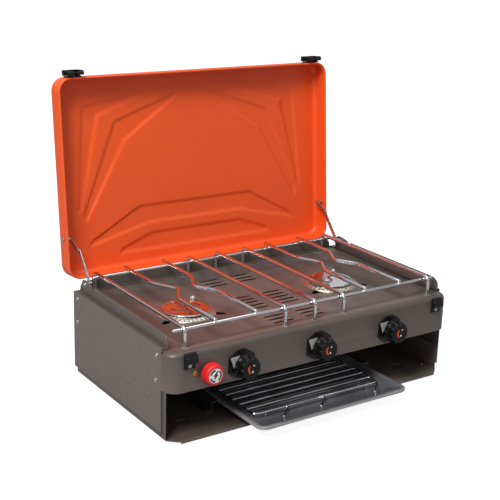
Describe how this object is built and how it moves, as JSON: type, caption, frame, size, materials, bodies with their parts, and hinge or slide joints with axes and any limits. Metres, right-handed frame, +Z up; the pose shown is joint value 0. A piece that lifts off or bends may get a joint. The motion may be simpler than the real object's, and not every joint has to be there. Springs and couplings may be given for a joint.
{
  "type": "camping gas stove with grill",
  "caption": "Portable camping gas stove with burners on a pressed hob, a lift-off wire pan support, a slide-out grill tray below and a hinged lid with latches and folding stays.",
  "frame": {"origin": "on the floor, under the middle of the whole with the lid open and the grill tray drawn out", "axes": "+X to the right as seen by the cook, +Y to the back, +Z up"},
  "size_m": [0.5, 0.4152, 0.4607],
  "materials": {
    "grey_enamel": "satin warm grey enamel",
    "orange_enamel": "satin orange enamel",
    "dark_enamel": "glossy dark enamel",
    "zinc_steel": "zinc-plated",
    "chrome": "bright",
    "burner_aluminium": "cast",
    "brass": "turned",
    "black_plastic": "moulded",
    "red_plastic": "moulded",
    "rubber": "matt",
    "ceramic": "glazed"
  },
  "bodies": {
    "base": {"floor_pan": "grey_enamel", "side_panel_left": "grey_enamel", "side_panel_right": "grey_enamel", "back_panel": "grey_enamel", "foot_front_left": "rubber", "foot_rear_left": "rubber", "foot_front_right": "rubber", "foot_rear_right": "rubber", "hob_top": "grey_enamel", "burner_left": "burner_aluminium", "burner_right": "burner_aluminium", "burner_cap_left": "chrome", "burner_cap_right": "chrome", "electrode_left": "ceramic", "electrode_right": "ceramic", "gas_pipe": "brass", "gas_inlet": "brass", "gas_tap_left": "brass", "gas_tap_middle": "brass", "gas_tap_right": "brass", "knob_bezel_left": "black_plastic", "knob_bezel_middle": "black_plastic", "knob_bezel_right": "black_plastic", "igniter_body": "black_plastic", "brass_screw": "brass", "grill_hood": "zinc_steel", "grill_burner": "zinc_steel", "tray_runner_left": "zinc_steel", "tray_runner_right": "zinc_steel", "hinge_case_left": "zinc_steel", "hinge_case_right": "zinc_steel", "stay_rivet_left": "zinc_steel", "stay_rivet_right": "zinc_steel", "catch_left": "black_plastic", "catch_right": "black_plastic"},
    "lid": {"lid_shell": "orange_enamel", "hinge_lid_left": "zinc_steel", "hinge_lid_right": "zinc_steel", "stay_pin_left": "zinc_steel", "stay_pin_right": "zinc_steel", "latch_base_left": "black_plastic", "latch_base_right": "black_plastic"},
    "pan_support": {"pan_support": "chrome"},
    "grill_tray": {"grill_tray": "dark_enamel"},
    "grill_rack": {"grill_rack": "chrome"},
    "igniter_cap": {"igniter_cap": "red_plastic"},
    "latch_left": {"latch_left": "black_plastic"},
    "stay_lower_left": {"stay_lower_left": "zinc_steel"},
    "stay_upper_left": {"stay_upper_left": "zinc_steel"},
    "latch_right": {"latch_right": "black_plastic"},
    "stay_lower_right": {"stay_lower_right": "zinc_steel"},
    "stay_upper_right": {"stay_upper_right": "zinc_steel"},
    "tap_stem_left": {"tap_stem_left": "zinc_steel"},
    "knob_left": {"knob_left": "black_plastic"},
    "tap_stem_middle": {"tap_stem_middle": "zinc_steel"},
    "knob_middle": {"knob_middle": "black_plastic"},
    "tap_stem_right": {"tap_stem_right": "zinc_steel"},
    "knob_right": {"knob_right": "black_plastic"}
  },
  "joints": [
    {"name": "lid_hinge", "type": "hinge", "parent": "base", "child": "lid", "pos_m": [0, 0.1479, 0.1378], "axis": [1, 0, 0], "range_deg": [0, 95.14]},
    {"name": "latch_left_swing", "type": "hinge", "parent": "lid", "child": "latch_left", "pos_m": [-0.22, 0.17276, 0.45671], "axis": [1, 0, 0], "range_deg": [0, 180]},
    {"name": "latch_right_swing", "type": "hinge", "parent": "lid", "child": "latch_right", "pos_m": [0.22, 0.17276, 0.45671], "axis": [1, 0, 0], "range_deg": [0, 180]},
    {"name": "stay_lower_left_turn", "type": "hinge", "parent": "base", "child": "stay_lower_left", "pos_m": [-0.2342, 0.105, 0.1525], "axis": [1, 0, 0], "range_deg": [0, 144]},
    {"name": "stay_upper_left_turn", "type": "hinge", "parent": "lid", "child": "stay_upper_left", "pos_m": [-0.2361, 0.16795, 0.20564], "axis": [1, 0, 0], "range_deg": [-95, 0]},
    {"name": "stay_lower_right_turn", "type": "hinge", "parent": "base", "child": "stay_lower_right", "pos_m": [0.2342, 0.105, 0.1525], "axis": [1, 0, 0], "range_deg": [0, 144]},
    {"name": "stay_upper_right_turn", "type": "hinge", "parent": "lid", "child": "stay_upper_right", "pos_m": [0.2361, 0.16795, 0.20564], "axis": [1, 0, 0], "range_deg": [-95, 0]},
    {"name": "knob_left_push", "type": "slide", "parent": "base", "child": "tap_stem_left", "axis": [0, 1, 0], "range_m": [0, 0.0025], "stiffness_N_per_m": 400},
    {"name": "knob_left_turn", "type": "hinge", "parent": "tap_stem_left", "child": "knob_left", "pos_m": [-0.1375, -0.18, 0.1017], "axis": [0, -1, 0], "range_deg": [0, 180]},
    {"name": "knob_middle_push", "type": "slide", "parent": "base", "child": "tap_stem_middle", "axis": [0, 1, 0], "range_m": [0, 0.0025], "stiffness_N_per_m": 400},
    {"name": "knob_middle_turn", "type": "hinge", "parent": "tap_stem_middle", "child": "knob_middle", "pos_m": [-0.005, -0.18, 0.1017], "axis": [0, -1, 0], "range_deg": [0, 180]},
    {"name": "knob_right_push", "type": "slide", "parent": "base", "child": "tap_stem_right", "axis": [0, 1, 0], "range_m": [0, 0.0025], "stiffness_N_per_m": 400},
    {"name": "knob_right_turn", "type": "hinge", "parent": "tap_stem_right", "child": "knob_right", "pos_m": [0.1274, -0.18, 0.1017], "axis": [0, -1, 0], "range_deg": [0, 180]},
    {"name": "igniter_push", "type": "slide", "parent": "base", "child": "igniter_cap", "axis": [0, 1, 0], "range_m": [0, 0.0035], "stiffness_N_per_m": 800},
    {"name": "pan_support_lift", "type": "slide", "parent": "base", "child": "pan_support", "axis": [0, 0, -1], "range_m": [-0.05, 0]},
    {"name": "grill_tray_slide", "type": "slide", "parent": "base", "child": "grill_tray", "axis": [0, -1, 0], "range_m": [-0.05, 0.12]},
    {"name": "grill_rack_lift", "type": "slide", "parent": "grill_tray", "child": "grill_rack", "axis": [0, 0, 1], "range_m": [0, 0.03]}
  ],
  "couplings": [
    {"joint": "stay_lower_left_turn", "follows": "lid_hinge", "ratio": 1.5084},
    {"joint": "stay_upper_left_turn", "follows": "lid_hinge", "ratio": -0.9932},
    {"joint": "stay_lower_right_turn", "follows": "lid_hinge", "ratio": 1.5084},
    {"joint": "stay_upper_right_turn", "follows": "lid_hinge", "ratio": -0.9932}
  ]
}
